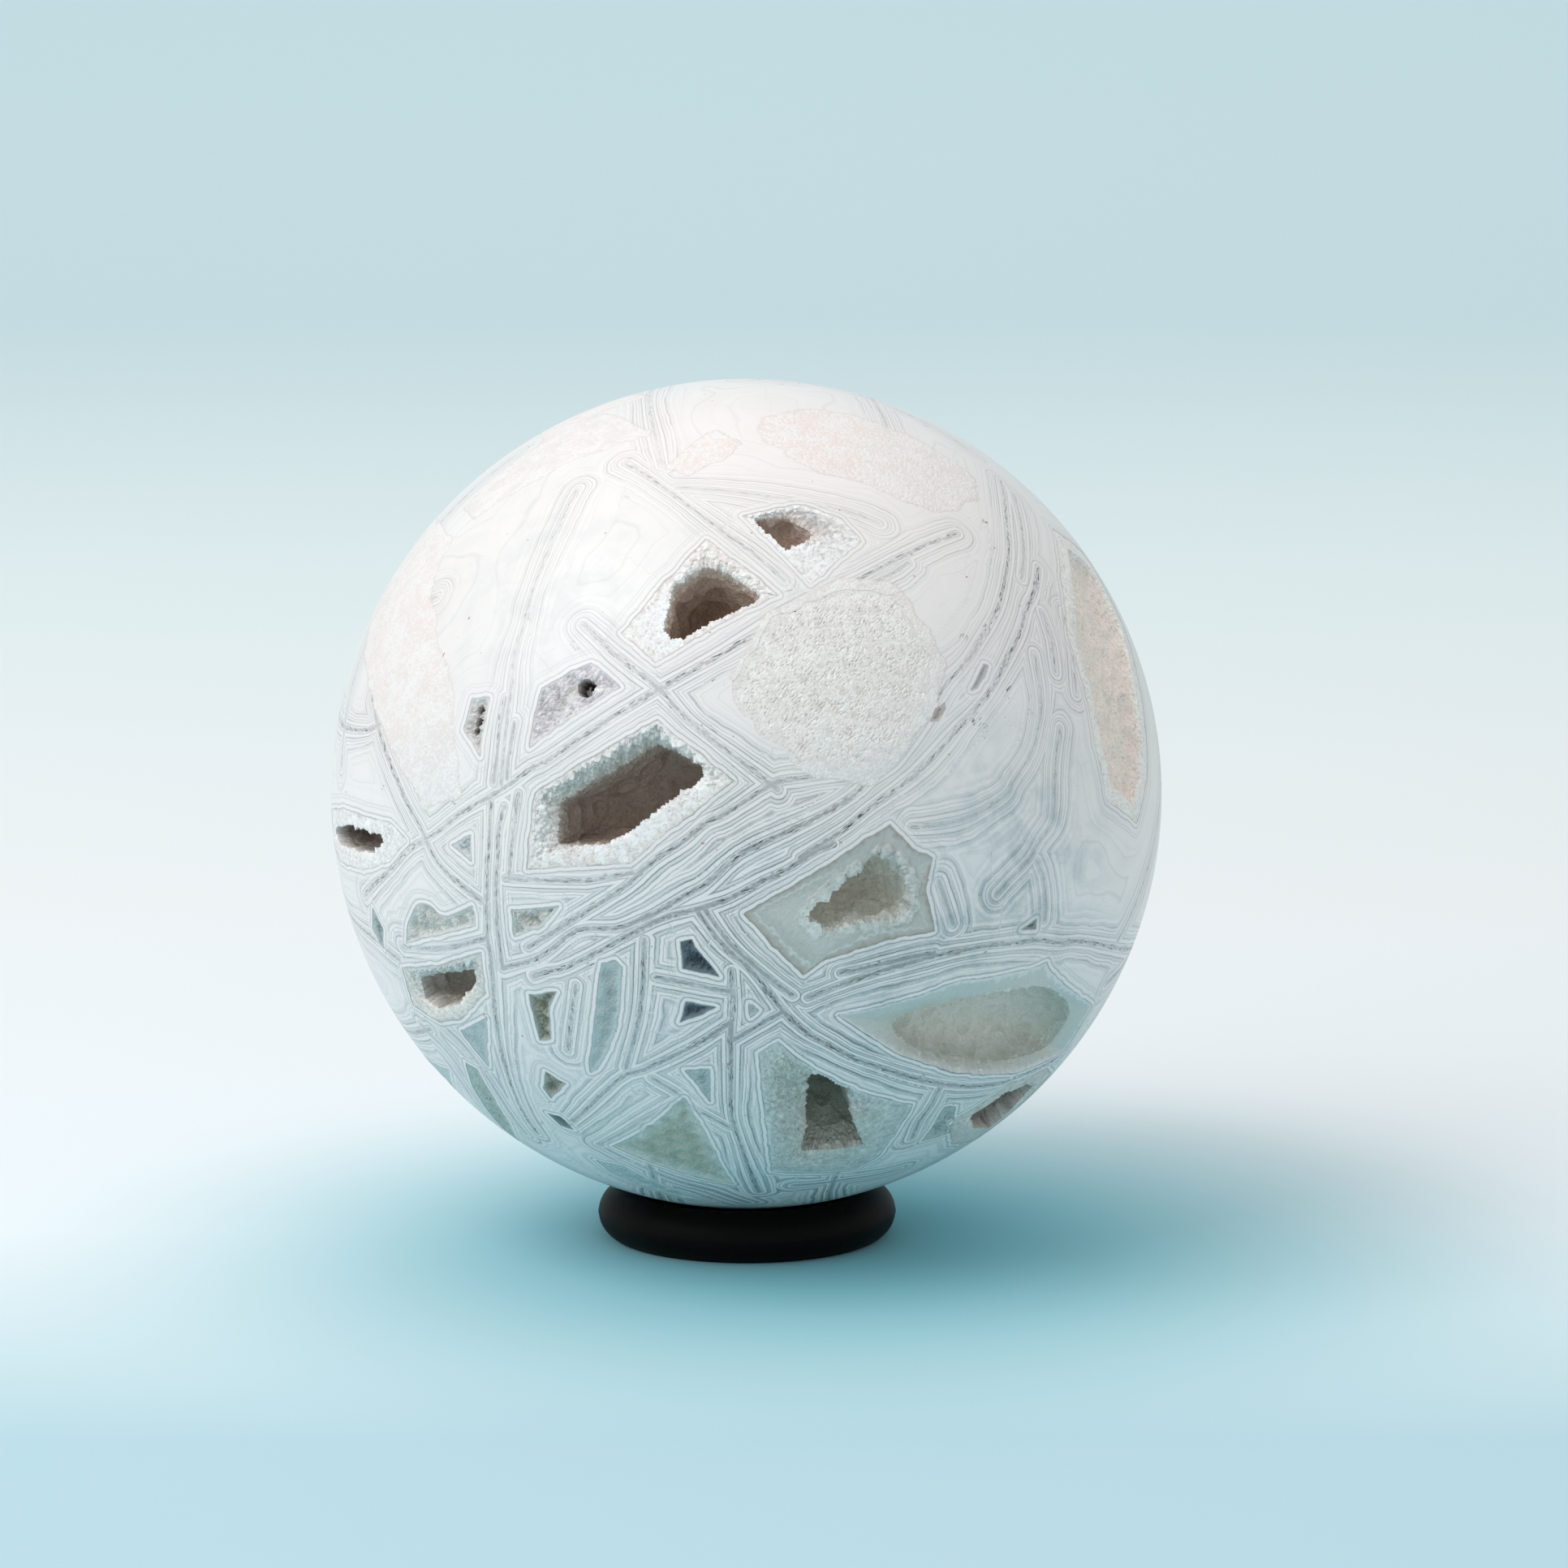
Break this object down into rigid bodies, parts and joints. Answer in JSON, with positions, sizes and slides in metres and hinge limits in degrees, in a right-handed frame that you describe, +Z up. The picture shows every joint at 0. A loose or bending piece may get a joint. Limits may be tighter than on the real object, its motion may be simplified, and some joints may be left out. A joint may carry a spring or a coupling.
{
  "type": "agate sphere",
  "caption": "Polished ball of bladed agate with crystal-lined hollows, resting on a plain black rubber ring.",
  "frame": {"origin": "under the middle of the ring, on the surface that the ring stands on", "axes": "+Z up through the middle of the ring and the ball, -Y towards the viewer of the main face, +X to that viewer's right"},
  "size_m": [0.082, 0.082, 0.0855],
  "materials": {
    "agate": "polished, white and grey bands",
    "druse": "small bright quartz crystals",
    "ring": "smooth black, slight sheen"
  },
  "bodies": {
    "root": {"agate_sphere": "agate", "druse_top": "druse", "druse_upper": "druse", "druse_middle": "druse", "druse_right": "druse", "druse_lower_right": "druse", "druse_bottom": "druse", "druse_lower_left": "druse", "druse_left_slot": "druse", "druse_right_edge": "druse", "druse_low_right_edge": "druse", "druse_back_high": "druse", "druse_back_low": "druse", "druse_back_side": "druse", "druse_far_side": "druse", "ring_stand": "ring"}
  },
  "joints": []
}
